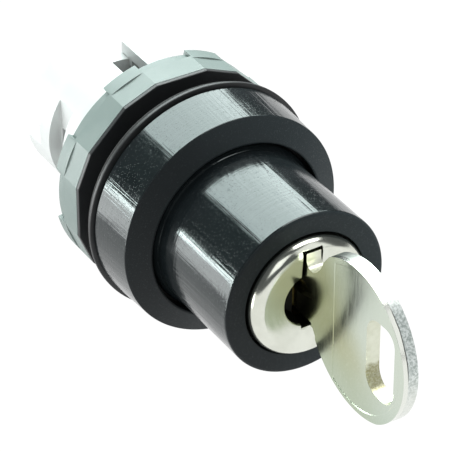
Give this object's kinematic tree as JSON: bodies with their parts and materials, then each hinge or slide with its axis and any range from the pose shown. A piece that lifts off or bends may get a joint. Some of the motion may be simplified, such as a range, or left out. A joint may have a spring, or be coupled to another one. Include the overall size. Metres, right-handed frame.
{
  "type": "key selector switch",
  "caption": "Panel-mounted key selector switch head with conical bezel, long barrel, turning lock face, key, clamping nut and rear plungers.",
  "frame": {"origin": "on the switch axis, in the plane of the panel's front face where the gasket seats", "axes": "-Y is the front (key side), +Y points to the contact side, +Z is twelve o'clock, +X completes the right-handed frame"},
  "size_m": [0.0312, 0.0728, 0.0312],
  "materials": {
    "black_gloss": "satin gloss",
    "black_matte": "matte",
    "gasket": "matte",
    "nut_grey": "satin",
    "white_plastic": "satin",
    "die_cast": "cast",
    "nickel": "satin nickel plate",
    "brass": "machined",
    "spring_steel": "drawn wire",
    "plunger_plastic": "satin"
  },
  "bodies": {
    "root": {"spigot_body": "black_matte", "bezel_ring": "black_gloss", "barrel_sleeve": "black_gloss", "panel_gasket": "gasket", "rear_housing": "white_plastic", "guide_plate": "white_plastic", "plate_screws": "spring_steel", "lock_stator": "die_cast", "lock_nut": "brass", "locating_pin": "spring_steel", "sleeve_o_ring": "gasket", "dust_seal": "gasket"},
    "rotor": {"lock_plug": "brass", "plug_cap": "nickel", "tumbler_wafers": "brass", "wafer_springs": "spring_steel", "drive_cam": "black_matte", "cam_clip": "spring_steel", "detent_balls": "spring_steel", "detent_springs": "spring_steel"},
    "key": {"key": "nickel"},
    "push_left": {"plunger_left": "plunger_plastic", "plunger_spring_left": "spring_steel"},
    "push_right": {"plunger_right": "plunger_plastic", "plunger_spring_right": "spring_steel"},
    "washer": {"clamp_washer": "black_matte"},
    "nut": {"fixing_nut": "nut_grey"}
  },
  "joints": [
    {"name": "key_turn", "type": "hinge", "parent": "root", "child": "rotor", "pos_m": [0, 0, 0], "axis": [0, 1, 0], "range_deg": [0, 90]},
    {"name": "key_slide", "type": "slide", "parent": "rotor", "child": "key", "axis": [0, -1, 0], "range_m": [0, 0.026]},
    {"name": "push_left_slide", "type": "slide", "parent": "root", "child": "push_left", "axis": [0, 1, 0], "range_m": [0, 0.003], "deforming": ["plunger_spring_left"]},
    {"name": "push_right_slide", "type": "slide", "parent": "root", "child": "push_right", "axis": [0, 1, 0], "range_m": [0, 0.003], "deforming": ["plunger_spring_right"]},
    {"name": "washer_slide", "type": "slide", "parent": "root", "child": "washer", "axis": [0, 1, 0], "range_m": [0, 0.006]},
    {"name": "nut_turn", "type": "hinge", "parent": "washer", "child": "nut", "pos_m": [0, 0, 0], "axis": [0, 1, 0], "range_deg": [0, 1440]}
  ],
  "couplings": [
    {"joint": "push_left_slide", "follows": "key_turn", "m_per_rad": 0.0019099},
    {"joint": "push_right_slide", "follows": "key_turn", "m_per_rad": 0.0019099},
    {"joint": "washer_slide", "follows": "nut_turn", "m_per_rad": 0.00023873}
  ]
}
